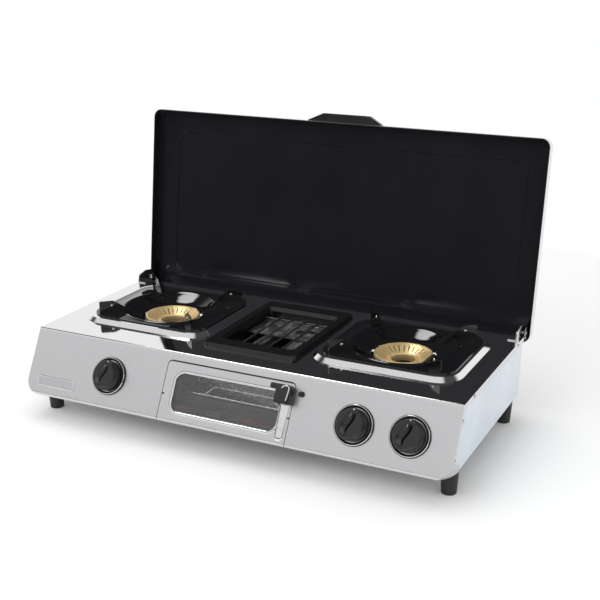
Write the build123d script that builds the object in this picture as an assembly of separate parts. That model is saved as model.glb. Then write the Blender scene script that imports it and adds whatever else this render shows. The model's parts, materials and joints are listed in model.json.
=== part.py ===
"""Table-top gas stove with two burners, a central grill behind a glass door and a hinged lid.

Frame: +X is the user's right, +Y is the back and +Z is up. The origin is the middle of the base
of the whole stove with its lid open. Lengths are in millimetres, angles in degrees.
Inside this file y = 0 is the front top fold of the casing, and save() moves each piece to the frame.
"""
from build123d import *
import math
import os

os.makedirs("parts", exist_ok=True)

# ---- driving dimensions ---------------------------------------------------------------------
BODY_W = 700.0          # casing width
BODY_D = 291.0          # casing depth at the top
TOP_Z = 135.0           # top plate above the ground
BASE_Z = 40.0           # underside of the casing above the ground
SHEET = 1.2             # sheet metal thickness
ORIGIN_Y = 165.8        # distance from the front fold back to the frame's origin
FASCIA_RUN = 51.6       # how far the sloping fascia comes forward down to BASE_Z
FASCIA_R = 5.0          # bend under the fascia
CORNER_R = 24.0         # rounded lower corners of the fascia
CORNER_LOW = 105.0      # lower edge of the fascia's outline, measured down the fascia
FLANGE = 9.0            # side flange of the top sheet over the side panels

BURNER_X = 203.5        # burner centres, to each side of the middle
BURNER_Y = 157.0
BOSS_W, BOSS_D, BOSS_H = 230.0, 206.0, 6.5   # raised platform round each burner
BOSS_R = 38.0
WELL_R = 80.0           # hole in the platform that the burner bowl hangs through

DISH_W, DISH_D, DISH_R = 206.0, 180.0, 32.0  # enamelled pan support plate
DISH_T = 1.6
BOWL_R = 81.0           # top edge of the bowl in the pan support
BOWL_HOLE_R = 49.0
BOWL_BOTTOM = -5.5      # bowl hole, measured from the top plate
RING_R = 45.0           # brass burner head
RING_Z = -4.0           # top of the brass head, measured from the top plate
FIN_TOP = 28.0          # top of the fins above the top plate

DOOR_HALF = 105.6       # half the grill door's width
DOOR_TOP = 14.4         # door's top edge, measured down the fascia
DOOR_GAP = 0.9          # gap at the door's sides
DOOR_TOP_GAP = 2.2      # gap over the door
WINDOW_HALF = 87.0
WINDOW_TOP, WINDOW_BOTTOM = 29.0, 87.5
DOOR_PIVOT = (-33.0, 44.8)   # y and z of the door's hinge pins

KNOB_X = (-203.0, 203.0, 285.0)
KNOB_S = 55.0           # knob centres, measured down the fascia
BEZEL_R = 29.5
TRIM_R = 28.4           # bright ring in the bezel
KNOB_R = 23.0
KNOB_H = 13.0           # knob disc above the fascia
GRIP_H = 22.5           # top of the knob's ridge above the fascia
PUSH = 3.0              # travel of a knob when it is pressed
KNOB_FOOT = PUSH + 0.4  # underside of a knob above the fascia

LID_W = 706.0
LID_LEN = 316.7
LID_SKIRT = 20.5
LID_TILT = 7.25         # lean of the open lid behind the vertical
LID_PIVOT = (306.0, 137.0)   # y and z of the lid's hinge pins
LID_BACK = 32.0         # outer face of the open lid behind the pivot
LID_BELOW = 19.4        # lower edge of the open lid below the pivot, along the lid
LID_R = 14.0            # rounded corners of the lid

GRILL_HALF_W = 78.0     # black frame over the grill, in the middle of the top
GRILL_Y0, GRILL_Y1 = 41.0, 263.0
GRILL_OPEN_HALF = 59.0
GRILL_OPEN_Y0, GRILL_OPEN_Y1 = 73.0, 231.0
GRILL_H = 6.0

# ---- worked out from them -------------------------------------------------------------------
SLOPE = math.atan2(FASCIA_RUN, TOP_Z - BASE_Z)
DOWN = (0.0, -math.sin(SLOPE), -math.cos(SLOPE))       # down the fascia
OUT = (0.0, -math.cos(SLOPE), math.sin(SLOPE))         # out of the fascia
FASCIA = Plane(origin=(0, 0, TOP_Z), x_dir=(1, 0, 0), z_dir=OUT)
HALF_W = BODY_W / 2

PIPE_Y, PIPE_Z = 0.1, 52.0          # gas pipe behind the fascia
INLET_X, INLET_Z = -262.0, 52.0     # hose nozzle in the back
INJECTOR_Z = 84.0
FOOT_X, FOOT_Y0, FOOT_Y1 = 333.0, 4.0, 266.0
HANDLE_X = 97.0                     # the grill door's handle bar
HANDLE_SCREWS = (40.0, 76.0)
FLAME_SLOTS = 28
ELECTRODE_R = 47.4                  # electrodes, from the burner's centre
FIN_T = 1.8
FIN_RIVET_X, FIN_RIVET_Y, FIN_RIVET_Z = 72.0, 68.0, 20.0
FIN_OUTLINE = [(119.0, 7.3), (83.0, 7.3), (78.5, 8.5), (74.0, 5.4), (64.0, 0.7), (64.0, 3.6), (80.0, 17.0),
               (90.0, 24.5), (97.0, FIN_TOP), (117.5, FIN_TOP), (119.0, FIN_TOP - 1.5)]
GRATE_X = (-34.0, -12.0, 11.0, 33.0)
GRILL_TUBE_X = 27.0
LINER_HALF, LINER_Z = 98.0, 58.0    # grill cavity: half width and floor
RACK_Z = 74.0
GRILL_BURNER_Z = TOP_Z - 24.0
PANEL_X0, PANEL_X1 = -312.0, 320.0  # pressed panel in the lid
PANEL_LOW, PANEL_HIGH = 31.0, 280.0
PANEL_DEPTH = 2.2
HANDLE_MID = 4.0                    # middle of the lid's handle
EAR_X, EAR_T, EAR_R = 347.4, 2.0, 10.0
BRACKET_X = 343.0

parts = {}


def save(name, shape):
    """Keep a piece, moved from the fold's frame to the stove's own frame."""
    shift = Location((0, -ORIGIN_Y, 0))
    solids = [solid.moved(shift) for solid in shape.solids()]
    parts[name] = solids[0] if len(solids) == 1 else Compound(children=solids)


def fuse(pieces):
    """One shape from a list of overlapping or touching pieces."""
    first, *rest = pieces
    return first.fuse(*rest).clean() if rest else first


def group(pieces):
    """Separate solids kept together in one node."""
    return Compound(children=list(pieces))


def block(x0, x1, y0, y1, z0, z1):
    """A box between two corners."""
    size = Box(x1 - x0, y1 - y0, z1 - z0)
    return size.moved(Location(((x0 + x1) / 2, (y0 + y1) / 2, (z0 + z1) / 2)))


def rod(start, end, radius):
    """A round bar from start to end."""
    axis = Vector(*end) - Vector(*start)
    base = Plane(origin=start, z_dir=axis)
    return extrude(base * Circle(radius), amount=axis.length)


def turned(points, origin, axis=(0, 0, 1)):
    """A solid of revolution about axis from (radius, height) points."""
    face = make_face(Polyline(*[(r, 0, h) for r, h in points], close=True))
    solid = revolve(face, Axis.Z)
    return solid.moved(Plane(origin=origin, z_dir=axis).location)


def bent_pipe(points, bend, radius):
    """A pipe of straight runs joined by arcs of one radius."""
    path = FilletPolyline(*points, radius=bend)
    start = Plane(origin=path @ 0, z_dir=path % 0)
    return sweep(start * Circle(radius), path=path)


def on_fascia(x, s, height=0.0):
    """A point on the fascia: x across, s down from the fold, height out of the sheet."""
    return tuple(Vector(x, 0, TOP_Z) + Vector(*DOWN) * s + Vector(*OUT) * height)


def fascia_plane(x, s, height=0.0, turn=0.0):
    """A sketch plane on the fascia, looking at it from outside."""
    angle = math.radians(turn)
    across = Vector(1, 0, 0) * math.cos(angle) - Vector(*DOWN) * math.sin(angle)
    return Plane(origin=on_fascia(x, s, height), x_dir=tuple(across), z_dir=OUT)


def body_section(inset):
    """The casing's outline seen from the side, inset by a distance, as a face across X."""
    corners = [(0, TOP_Z), (-FASCIA_RUN, BASE_Z), (BODY_D, BASE_Z), (BODY_D, TOP_Z)]
    face = make_face(Polyline(*corners, close=True))
    radii = [3.0, FASCIA_R, 8.0, 2.0]
    for corner, radius in zip(corners, radii):
        nearest = face.vertices().sort_by_distance((*corner, 0))[0]
        face = fillet(nearest, radius)
    if inset:
        face = offset(face, amount=-inset, kind=Kind.INTERSECTION).face()
    return face


def body_prism(inset, x0, x1):
    """The casing's outline extruded from x0 to x1."""
    return extrude(Plane.YZ.offset(x0) * body_section(inset), amount=x1 - x0)


def fascia_outline(inset):
    """Everything behind the fascia's outline, with its rounded lower corners, inset by a distance."""
    length = 500.0
    outline = RectangleRounded(BODY_W - 2 * inset, length, CORNER_R - inset)
    return extrude(fascia_plane(0, CORNER_LOW - inset - length / 2, 20) * outline, amount=-500)


# ---- casing ---------------------------------------------------------------------------------
def platform(side, drop):
    """The raised, bevelled platform round one burner; drop sinks it by a sheet's thickness."""
    base = Plane(origin=(side * BURNER_X, BURNER_Y, TOP_Z - drop))
    outline = RectangleRounded(BOSS_W, BOSS_D, BOSS_R)
    return extrude(base * outline, amount=BOSS_H, taper=45)


def top_sheet():
    """The folded sheet: top plate with platforms, sloping fascia, rear lip and side flanges."""
    outer = body_prism(0, -HALF_W, HALF_W) & fascia_outline(0)
    inner = body_prism(SHEET, -HALF_W + SHEET, HALF_W - SHEET) & fascia_outline(SHEET)
    side_window = body_prism(FLANGE, -HALF_W - 1, HALF_W + 1)
    side_window -= extrude(fascia_plane(0, CORNER_LOW - CORNER_R + 99, 20) * Rectangle(800, 200), amount=-400)
    sheet = outer - inner - side_window
    sheet -= block(-400, 400, -8, 400, 0, 80)
    sheet -= block(-400, 400, 100, 400, 0, TOP_Z - 10)
    for side in (-1, 1):
        sheet += platform(side, 0)
        sheet -= platform(side, SHEET)
        sheet -= Pos(side * BURNER_X, BURNER_Y, TOP_Z) * Cylinder(WELL_R, 40)
    grill_hole = RectangleRounded(2 * GRILL_OPEN_HALF + 10, GRILL_OPEN_Y1 - GRILL_OPEN_Y0 + 10, 8)
    middle = Plane(origin=(0, (GRILL_OPEN_Y0 + GRILL_OPEN_Y1) / 2, TOP_Z - 10))
    sheet -= extrude(middle * grill_hole, amount=20)
    sheet -= door_cutter(DOOR_HALF + DOOR_GAP, DOOR_TOP - DOOR_TOP_GAP, 8.0)
    for x in KNOB_X:
        sheet -= extrude(fascia_plane(x, KNOB_S, -6) * Circle(9), amount=12)
    sheet -= rod(on_fascia(117, 27, -6), on_fascia(117, 27, 3), 2.0)
    return sheet


def door_cutter(half, top, corner):
    """The door's outline through the fascia, open at the bottom."""
    height = 150.0
    outline = RectangleRounded(2 * half, height, corner)
    return extrude(fascia_plane(0, top + height / 2, -48) * outline, amount=78)


def side_panel(side):
    """A painted side panel inside the flanges of the top sheet."""
    inner = HALF_W - SHEET - 0.1
    panel = body_prism(SHEET + 0.15, 0, SHEET)
    panel = panel.moved(Location((inner - SHEET, 0, 0))) & fascia_outline(SHEET + 0.05)
    panel -= block(0, 400, BODY_D - 2 * SHEET - 0.6, 400, 0, 200)
    lip = block(inner - 10, inner - SHEET, 10, BODY_D - 20, BASE_Z + SHEET + 0.2, BASE_Z + 2 * SHEET + 0.2)
    panel += lip
    return panel if side > 0 else mirror(panel, about=Plane.YZ)


def back_panel():
    """The rear panel with rows of vent slots and a hole for the gas inlet."""
    y1 = BODY_D - SHEET - 0.2
    panel = block(-HALF_W + 3.0, HALF_W - 3.0, y1 - SHEET, y1, BASE_Z + SHEET + 0.2, TOP_Z - SHEET - 0.8)
    slot = extrude(Plane.XZ * SlotOverall(26, 4), amount=10, both=True)
    for row in (72.0, 84.0, 96.0):
        for column in range(-7, 8):
            panel -= slot.moved(Location((column * 34.0, y1, row)))
    panel -= rod((INLET_X, y1 - 10, INLET_Z), (INLET_X, y1 + 10, INLET_Z), 6.2)
    return panel


def bottom_tray():
    """The bottom sheet with vents and a low upstand at the back."""
    y0, y1 = -7.7, BODY_D - 2 * SHEET - 0.6
    half = HALF_W - 13.0
    tray = block(-half, half, y0, y1, BASE_Z, BASE_Z + SHEET)
    tray += block(-half, half, y1 - SHEET, y1, BASE_Z + SHEET, BASE_Z + 5)
    vent = SlotOverall(60, 6)
    for x in (-250, -170, 170, 250):
        for y in (120, 157, 194):
            tray -= extrude(Plane(origin=(x, y, BASE_Z - 2)) * vent, amount=6)
    for x, y in foot_places():
        tray -= Pos(x, y, BASE_Z) * Cylinder(2.6, 8)
    return tray


def foot_places():
    """The centres of the four feet."""
    return [(x, y) for x in (-FOOT_X, FOOT_X) for y in (FOOT_Y0, FOOT_Y1)]


def foot(x, y):
    """A tapered rubber foot with a sunk screw seat."""
    outline = [(0, 0), (10.0, 0), (10.8, 0.8), (12.6, 30.0), (13.2, 38.0), (13.2, BASE_Z - 0.1), (0, BASE_Z - 0.1)]
    solid = turned(outline, (x, y, 0))
    solid -= Pos(x, y, 0) * Cylinder(5.5, 60)
    return solid - Pos(x, y, BASE_Z) * Cylinder(2.2, 40)


def foot_screw(x, y):
    """The screw up through a foot, its washer head inside the foot's recess."""
    head = turned([(0, 26.2), (3.6, 26.2), (5.0, 27.8), (5.0, 29.9), (0, 29.9)], (x, y, 0))
    shank = Pos(x, y, 0) * rod((0, 0, 28), (0, 0, BASE_Z + 8), 2.1)
    return head + shank


def build_casing():
    """Top sheet, panels, tray, feet and the screws that hold the flanges."""
    save("top_and_fascia_sheet", top_sheet())
    save("side_panel_left", side_panel(-1))
    save("side_panel_right", side_panel(1))
    save("back_panel", back_panel())
    save("bottom_tray", bottom_tray())
    save("rubber_feet", group(foot(x, y) for x, y in foot_places()))
    save("foot_screws", group(foot_screw(x, y) for x, y in foot_places()))
    screws = []
    for side in (-1, 1):
        for y, z in ((262.0, 130.2), (44.0, 130.2), (-2.0, 112.0), (-28.0, 64.0)):
            screws.append(side_screw(side, y, z))
    save("flange_screws", group(screws))


def side_screw(side, y, z):
    """A small round-headed screw in a side flange."""
    points = [(0, 0), (3.2, 0), (3.0, 1.0), (1.8, 1.8), (0, 2.0)]
    return turned(points, (side * (HALF_W + 0.02), y, z), (side, 0, 0))


# ---- grill door -----------------------------------------------------------------------------
def door_frame():
    """The stainless door, which follows the fascia round its lower bend."""
    skin = body_prism(0, -DOOR_HALF, DOOR_HALF) - body_prism(SHEET, -DOOR_HALF, DOOR_HALF)
    skin -= block(-400, 400, DOOR_PIVOT[0] + 2, 400, 0, 80)
    door = skin & door_cutter(DOOR_HALF, DOOR_TOP, 6.0)
    lining = extrude(fascia_plane(0, (DOOR_TOP + WINDOW_BOTTOM) / 2 + 0.5, -6.2)
                     * RectangleRounded(2 * DOOR_HALF - 6, WINDOW_BOTTOM - DOOR_TOP - 1, 6), amount=5.0)
    door += lining
    middle = (WINDOW_TOP + WINDOW_BOTTOM) / 2
    window = RectangleRounded(2 * WINDOW_HALF, WINDOW_BOTTOM - WINDOW_TOP, 14)
    door -= extrude(fascia_plane(0, middle, -12) * window, amount=24)
    pocket = RectangleRounded(2 * WINDOW_HALF + 8, WINDOW_BOTTOM - WINDOW_TOP + 5, 15)
    door -= extrude(fascia_plane(0, middle, -4.6) * pocket, amount=3.4)
    for side in (-1, 1):
        x = side * 101.0
        knuckle = rod((x - 3.5, *DOOR_PIVOT), (x + 3.5, *DOOR_PIVOT), 4.2)
        door += knuckle
        door -= rod((x - 9, *DOOR_PIVOT), (x + 9, *DOOR_PIVOT), 1.55)
    for s in HANDLE_SCREWS:
        door -= rod(on_fascia(HANDLE_X, s, -9), on_fascia(HANDLE_X, s, 4), 1.6)
    return door


def door_glass():
    """The heat-proof pane in the door's pocket."""
    middle = (WINDOW_TOP + WINDOW_BOTTOM) / 2
    pane = RectangleRounded(2 * WINDOW_HALF + 7.4, WINDOW_BOTTOM - WINDOW_TOP + 4.4, 14.7)
    return extrude(fascia_plane(0, middle, -4.5) * pane, amount=3.2)


def door_handle_bar():
    """The chromed bar up the door's right edge, which carries the grip."""
    bar = extrude(fascia_plane(HANDLE_X, 56, 0.05) * RectangleRounded(12, 64, 4), amount=2.4)
    bar = chamfer(bar.faces().sort_by(Axis((0, 0, 0), OUT))[-1].edges(), 0.8)
    arm = extrude(fascia_plane(HANDLE_X + 4.8, 32, 0.05) * Rectangle(2.0, 14), amount=17)
    hook = extrude(fascia_plane(HANDLE_X + 1.0, 26, 15) * Rectangle(9.6, 2.0), amount=2.05)
    bar = bar + arm + hook
    for s in HANDLE_SCREWS:
        bar -= rod(on_fascia(HANDLE_X, s, -3), on_fascia(HANDLE_X, s, 9), 1.6)
    return bar


def door_grip():
    """The heat-proof black grip at the top of the handle bar."""
    grip = extrude(fascia_plane(94.0, 35.0, 6.0) * RectangleRounded(15.0, 21.0, 3.0), amount=13)
    tab = extrude(fascia_plane(88.0, 22.5, 9.0) * RectangleRounded(21.0, 8.0, 2.5), amount=10)
    grip = grip + tab
    grip -= extrude(fascia_plane(HANDLE_X + 4.8, 32, 0) * Rectangle(2.1, 14.1), amount=17.2)
    grip -= extrude(fascia_plane(HANDLE_X + 1.0, 26, 14.9) * Rectangle(9.8, 2.2), amount=2.3)
    neck = extrude(fascia_plane(93.0, 37.0, 2.6) * Rectangle(8.0, 10.0), amount=4)
    for s in HANDLE_SCREWS[:1]:
        neck -= rod(on_fascia(HANDLE_X, s, 0), on_fascia(HANDLE_X, s, 12), 1.7)
    return grip + neck


def build_door():
    """The door, its glass, handle, hinge pins and the catch beside it."""
    save("grill_door_frame", door_frame())
    save("grill_door_glass", door_glass())
    save("grill_door_handle_bar", door_handle_bar())
    save("grill_door_grip", door_grip())
    pivots = []
    for side in (-1, 1):
        pin = rod((side * 98.5, *DOOR_PIVOT), (side * 110.0, *DOOR_PIVOT), 1.5)
        y, z = DOOR_PIVOT
        bracket = block(min(side * 107, side * 110), max(side * 107, side * 110),
                        y - 2.2, y + 8, BASE_Z + SHEET + 0.5, z + 5)
        pivots.append(pin + bracket)
    save("grill_door_hinge_pins", group(pivots))
    stud = turned([(0, 0.05), (4.2, 0.05), (4.2, 2.4), (3.0, 5.4), (1.8, 6.2), (0, 6.2)],
                  on_fascia(117, 27), OUT)
    stem = rod(on_fascia(117, 27, -4), on_fascia(117, 27, 1), 1.9)
    save("door_rest_stud", stud + stem)


# ---- knobs and valves -----------------------------------------------------------------------
def knob(x):
    """A black control knob with a raised, slanting S-shaped ridge."""
    outline = [(0, KNOB_FOOT), (KNOB_R, KNOB_FOOT), (KNOB_R, 9.0), (KNOB_R - 1.6, KNOB_H - 1.2),
               (KNOB_R - 4.2, KNOB_H), (0, KNOB_H)]
    body = turned(outline, on_fascia(x, KNOB_S), OUT)
    base = fascia_plane(x, KNOB_S, KNOB_H - 1.0, turn=90 + 22)
    ridge = extrude(base * SlotOverall(2 * KNOB_R - 3.0, 15), amount=GRIP_H - KNOB_H + 1.0, taper=10)
    ridge = fillet(ridge.faces().sort_by(Axis((0, 0, 0), OUT))[-1].edges(), 2.2)
    body = body + ridge
    body -= rod(on_fascia(x, KNOB_S, 0), on_fascia(x, KNOB_S, 12.0), 4.02)
    return body


def bezel(x):
    """The black ring round a knob, with a groove for the chrome trim near its edge."""
    points = [(24.2, 0.05), (BEZEL_R, 0.05), (BEZEL_R, 2.2), (BEZEL_R - 0.5, 3.0), (TRIM_R + 0.1, 3.0),
              (TRIM_R + 0.1, 1.5), (TRIM_R - 1.3, 1.5), (TRIM_R - 1.3, 3.4), (25.6, 2.8), (24.2, 1.8)]
    return turned(points, on_fascia(x, KNOB_S), OUT)


def trim_ring(x):
    """The bright ring in the bezel's groove."""
    points = [(TRIM_R - 1.25, 1.55), (TRIM_R + 0.05, 1.55), (TRIM_R + 0.05, 3.4), (TRIM_R - 0.3, 3.8),
              (TRIM_R - 0.9, 3.8), (TRIM_R - 1.25, 3.4)]
    return turned(points, on_fascia(x, KNOB_S), OUT)


def valve_body(x):
    """A gas valve: a cast barrel on the knob's axis and an outlet with its injector."""
    start = on_fascia(x, KNOB_S, -3.0)
    barrel = rod(start, on_fascia(x, KNOB_S, -34.0), 11.0)
    bore = rod(on_fascia(x, KNOB_S, 0), on_fascia(x, KNOB_S, -30.0), 7.06)
    end = on_fascia(x, KNOB_S, -30.0)
    drop = rod((x, end[1], end[2]), (x, end[1], PIPE_Z), 5.0)
    seat = rod((x, PIPE_Y + 2.9, INJECTOR_Z), (x, PIPE_Y + 30, INJECTOR_Z), 4.25)
    return barrel + drop - bore - pipe_bore(x) - seat


def pipe_bore(x):
    """The gas pipe's way through a valve's foot."""
    return rod((x - 20, PIPE_Y, PIPE_Z), (x + 20, PIPE_Y, PIPE_Z), 4.55)


def valve_rotor(x):
    """The plug that turns inside the valve; the stem slides in it."""
    plug = rod(on_fascia(x, KNOB_S, -8.0), on_fascia(x, KNOB_S, -29.5), 7.0)
    return plug - rod(on_fascia(x, KNOB_S, -2.0), on_fascia(x, KNOB_S, -24.0), 4.05)


def valve_stem(x):
    """The stem from the knob into the valve's plug."""
    return rod(on_fascia(x, KNOB_S, 11.8), on_fascia(x, KNOB_S, -18.0), 4.0)


def injector(x):
    """A brass injector on the valve's side, aimed into the mixing tube."""
    z = INJECTOR_Z
    y = PIPE_Y + 3.0
    body = rod((x, y, z), (x, y + 14, z), 4.2)
    tip = turned([(0, 0), (4.2, 0), (2.4, 5), (0, 5)], (x, y + 14, z), (0, 1, 0))
    return body + tip - rod((x, y + 2, z), (x, y + 25, z), 0.6)


def build_controls():
    """Knobs, bezels, trim rings, valves, stems and injectors."""
    names = ("left_burner", "right_burner", "grill")
    for name, x in zip(names, KNOB_X):
        save(f"knob_{name}", knob(x))
        save(f"valve_stem_{name}", valve_stem(x))
        save(f"valve_rotor_{name}", valve_rotor(x))
    save("knob_bezels", group(bezel(x) for x in KNOB_X))
    save("knob_trim_rings", group(trim_ring(x) for x in KNOB_X))
    save("valve_bodies", group(valve_body(x) for x in KNOB_X))
    save("injectors", group(injector(x) for x in KNOB_X))
    route = [(INLET_X, BODY_D - 14, PIPE_Z), (INLET_X, PIPE_Y, PIPE_Z), (KNOB_X[2] + 9, PIPE_Y, PIPE_Z)]
    save("gas_manifold_pipe", bent_pipe(route, 16, 4.5) - bent_pipe(route, 16, 3.2))
    save("gas_inlet_nozzle", inlet_nozzle())


def inlet_nozzle():
    """The hose nozzle through the back panel: a hexagon and a plain barrel with a bevelled tip."""
    y = BODY_D - 14
    outline = [(3.0, 0), (6.0, 0), (6.0, 13.6), (4.75, 13.6), (4.75, 43.0), (3.9, 45.0), (3.0, 45.0)]
    nozzle = turned(outline, (INLET_X, y, INLET_Z), (0, 1, 0))
    hexagon = Plane(origin=(INLET_X, BODY_D + 0.2, INLET_Z), z_dir=(0, 1, 0))
    return nozzle + extrude(hexagon * (RegularPolygon(9.0, 6) - Circle(3.5)), amount=6)


# ---- burners --------------------------------------------------------------------------------
def burner_cup(side):
    """The cast cup under a burner, with its central air tube, gas port and two straps."""
    x = side * BURNER_X
    outline = [(18.0, -60), (46.0, -60), (46.0, -20), (43.0, -20), (43.0, -57),
               (20.5, -57), (20.5, -24), (18.0, -24)]
    cup = turned(outline, (x, BURNER_Y, TOP_Z))
    cup -= rod((x, BURNER_Y - 60, INJECTOR_Z), (x, BURNER_Y - 30, INJECTOR_Z), 8.6)
    for end in (-1, 1):
        strap = block(x + end * 34 - 8, x + end * 34 + 8, BURNER_Y - 1.5, BURNER_Y + 1.5,
                      BASE_Z + SHEET + 0.05, TOP_Z - 58)
        foot_plate = block(x + end * 34 - 8, x + end * 34 + 8, BURNER_Y - 1.5, BURNER_Y + 12,
                           BASE_Z + SHEET + 0.05, BASE_Z + SHEET + 2)
        cup = cup + strap + foot_plate
    return cup


def mixing_tube(side):
    """The tube that carries gas and air from the injector to the cup, with a bell mouth."""
    x = side * BURNER_X
    outline = [(7.0, 14), (10.6, 3), (11.2, 0), (12.6, 0), (12.2, 3), (8.5, 16), (8.5, 92), (7.0, 92)]
    return turned(outline, (x, BURNER_Y - 136, INJECTOR_Z), (0, 1, 0))


def burner_head(side):
    """The brass head: a flat rim and an inner cone cut by radial flame slots."""
    x = side * BURNER_X
    outline = [(45.0, -9.0), (44.5, -5.4), (43.4, -4.0), (41.6, -4.0), (40.4, -5.0), (23.8, -14.4),
               (21.8, -12.8), (19.8, -12.8), (18.8, -14.4), (18.8, -20.0), (20.8, -22.0),
               (20.8, -30.0), (23.4, -30.0), (23.4, -19.0), (25.0, -17.4), (39.2, -9.4),
               (40.2, -12.0), (40.2, -30.0), (42.6, -30.0), (42.6, -14.0), (45.0, -12.0)]
    head = turned(outline, (x, BURNER_Y, TOP_Z))
    slope = math.degrees(math.atan2(9.4, 16.6))
    slots = []
    for n in range(FLAME_SLOTS):
        cutter = Box(12.5, 1.5, 7.0).moved(Location((0, 0, 0), (0, -slope, 0)))
        cutter = cutter.moved(Location((32.4, 0, -9.6)))
        cutter = cutter.rotate(Axis.Z, (n + 0.5) * 360 / FLAME_SLOTS)
        slots.append(cutter.moved(Location((x, BURNER_Y, TOP_Z))))
    return head.cut(*slots)


def pan_support(side):
    """The enamelled plate with its round bowl and four upright fins at the corners."""
    x = side * BURNER_X
    low = BOSS_H + 0.1
    plate = extrude(Plane(origin=(x, BURNER_Y, TOP_Z + low)) * RectangleRounded(DISH_W, DISH_D, DISH_R),
                    amount=DISH_T)
    plate -= Pos(x, BURNER_Y, TOP_Z) * Cylinder(BOWL_R, 40)
    upper = [(84.0, low + DISH_T), (81.6, low + 3.0), (78.6, low + 2.6), (74.0, low - 0.4),
             (54.0, -3.6), (BOWL_HOLE_R, BOWL_BOTTOM + 0.5)]
    lower = [(BOWL_HOLE_R, BOWL_BOTTOM - 1.1), (53.4, -5.4), (73.2, low - 2.1), (77.8, low + 1.0),
             (81.0, low + 1.2), (82.0, low), (84.0, low)]
    support = plate + turned(upper + lower, (x, BURNER_Y, TOP_Z))
    for turn in fin_angles():
        profile = Plane(origin=(x, BURNER_Y, TOP_Z), x_dir=(math.cos(turn), math.sin(turn), 0),
                        z_dir=(math.sin(turn), -math.cos(turn), 0))
        outline = make_face(Polyline(*FIN_OUTLINE, close=True))
        support += extrude(profile * outline, amount=FIN_T / 2, both=True)
        start, end = rivet_line(x, turn, FIN_T)
        support -= rod(start, end, 1.3)
    return support


def fin_angles():
    """Directions of the four fins, from the burner's centre to the rivets."""
    first = math.atan2(FIN_RIVET_Y, FIN_RIVET_X)
    return (first, math.pi - first, math.pi + first, -first)


def rivet_line(x, turn, reach):
    """The two ends of a rivet across a fin."""
    far = math.hypot(FIN_RIVET_X, FIN_RIVET_Y)
    middle = Vector(x + far * math.cos(turn), BURNER_Y + far * math.sin(turn), TOP_Z + FIN_RIVET_Z)
    across = Vector(math.sin(turn), -math.cos(turn), 0) * reach
    return tuple(middle - across), tuple(middle + across)


def fin_rivets(side):
    """Bright rivets through the fins."""
    rivets = []
    for turn in fin_angles():
        start, end = rivet_line(side * BURNER_X, turn, FIN_T / 2 + 1.2)
        rivet = rod(start, end, 1.25)
        for place, towards in ((start, end), (end, start)):
            axis = tuple(Vector(*place) - Vector(*towards))
            rivet += turned([(0, -1.15), (2.4, -1.15), (2.1, -0.4), (1.2, 0.1), (0, 0.3)], place, axis)
        rivets.append(rivet)
    return group(rivets)


def electrode(x, turn):
    """A ceramic ignition electrode beside a burner head."""
    place = (x + ELECTRODE_R * math.cos(turn), BURNER_Y + ELECTRODE_R * math.sin(turn))
    return rod((*place, TOP_Z - 62), (*place, TOP_Z - 3.5), 1.2)


def build_burners():
    """Both burners with their pan supports."""
    for name, side in (("left", -1), ("right", 1)):
        save(f"burner_cup_{name}", burner_cup(side))
        save(f"mixing_tube_{name}", mixing_tube(side))
        save(f"burner_head_{name}", burner_head(side))
        save(f"pan_support_{name}", pan_support(side))
        save(f"fin_rivets_{name}", fin_rivets(side))
    save("igniter_electrodes", group(electrode(side * BURNER_X, math.radians(250)) for side in (-1, 1)))


# ---- grill ----------------------------------------------------------------------------------
def grill_frame():
    """The raised black frame round the opening over the grill."""
    y = (GRILL_Y0 + GRILL_Y1) / 2
    outer = RectangleRounded(2 * GRILL_HALF_W, GRILL_Y1 - GRILL_Y0, 10)
    frame = extrude(Plane(origin=(0, y, TOP_Z + 0.1)) * outer, amount=GRILL_H, taper=20)
    middle = (GRILL_OPEN_Y0 + GRILL_OPEN_Y1) / 2
    length = GRILL_OPEN_Y1 - GRILL_OPEN_Y0
    frame -= extrude(Plane(origin=(0, middle, TOP_Z - 1)) * RectangleRounded(2 * GRILL_OPEN_HALF, length, 6),
                     amount=12, taper=-35)
    under = extrude(Plane(origin=(0, middle, TOP_Z - 8)) * RectangleRounded(2 * GRILL_OPEN_HALF + 9, length + 9, 7),
                    amount=9.5)
    collar = under - extrude(Plane(origin=(0, middle, TOP_Z - 9)) * RectangleRounded(2 * GRILL_OPEN_HALF + 6,
                             length + 6, 6), amount=9.4)
    collar -= extrude(Plane(origin=(0, middle, TOP_Z - 1)) * RectangleRounded(2 * GRILL_OPEN_HALF, length, 6),
                      amount=12, taper=-35)
    return frame + collar


def grill_grate():
    """Round bars, front to back, on two cross bars inside the top opening."""
    z = TOP_Z - 4.5
    y0, y1 = GRILL_OPEN_Y0 + 1.5, GRILL_OPEN_Y1 - 1.5
    bars = [rod((x, y0 + 4, z), (x, y1 - 4, z), 1.7) for x in GRATE_X]
    half = GRILL_OPEN_HALF + 2.6
    bars += [rod((-half, y, z - 2.4), (half, y, z - 2.4), 1.6) for y in (y0 + 14, y1 - 14)]
    return fuse(bars)


def reflector_plate():
    """The heat shield under the back of the opening, with an oval vent."""
    z = TOP_Z - 14
    plate = block(-64, 64, 158, 246, z, z + 0.8)
    plate += block(-64, 64, 245.2, 246, z, z + 9)
    oval = Plane(origin=(26, 192, z - 2)) * Ellipse(19, 12)
    return plate - extrude(oval, amount=5)


def grill_burner():
    """The grill's gas burner: two slotted box-section arms joined at the back."""
    z = GRILL_BURNER_Z
    y0, y1 = 40.0, 214.0
    half = GRILL_TUBE_X + 8
    burner = block(-half, half, y0, y1, z - 7, z + 7)
    burner -= block(-half + 16, half - 16, y0 - 1, y1 - 16, z - 8, z + 8)
    burner = fillet(burner.edges().filter_by(Axis.Z), 3.0)
    slots = []
    for side in (-1, 1):
        for n in range(22):
            place = (side * (GRILL_TUBE_X - 1.5), y0 + 14 + n * 6.0, z + 6)
            slots.append(Box(9.0, 1.6, 5.0).moved(Location(place)))
    return burner.cut(*slots)


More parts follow.
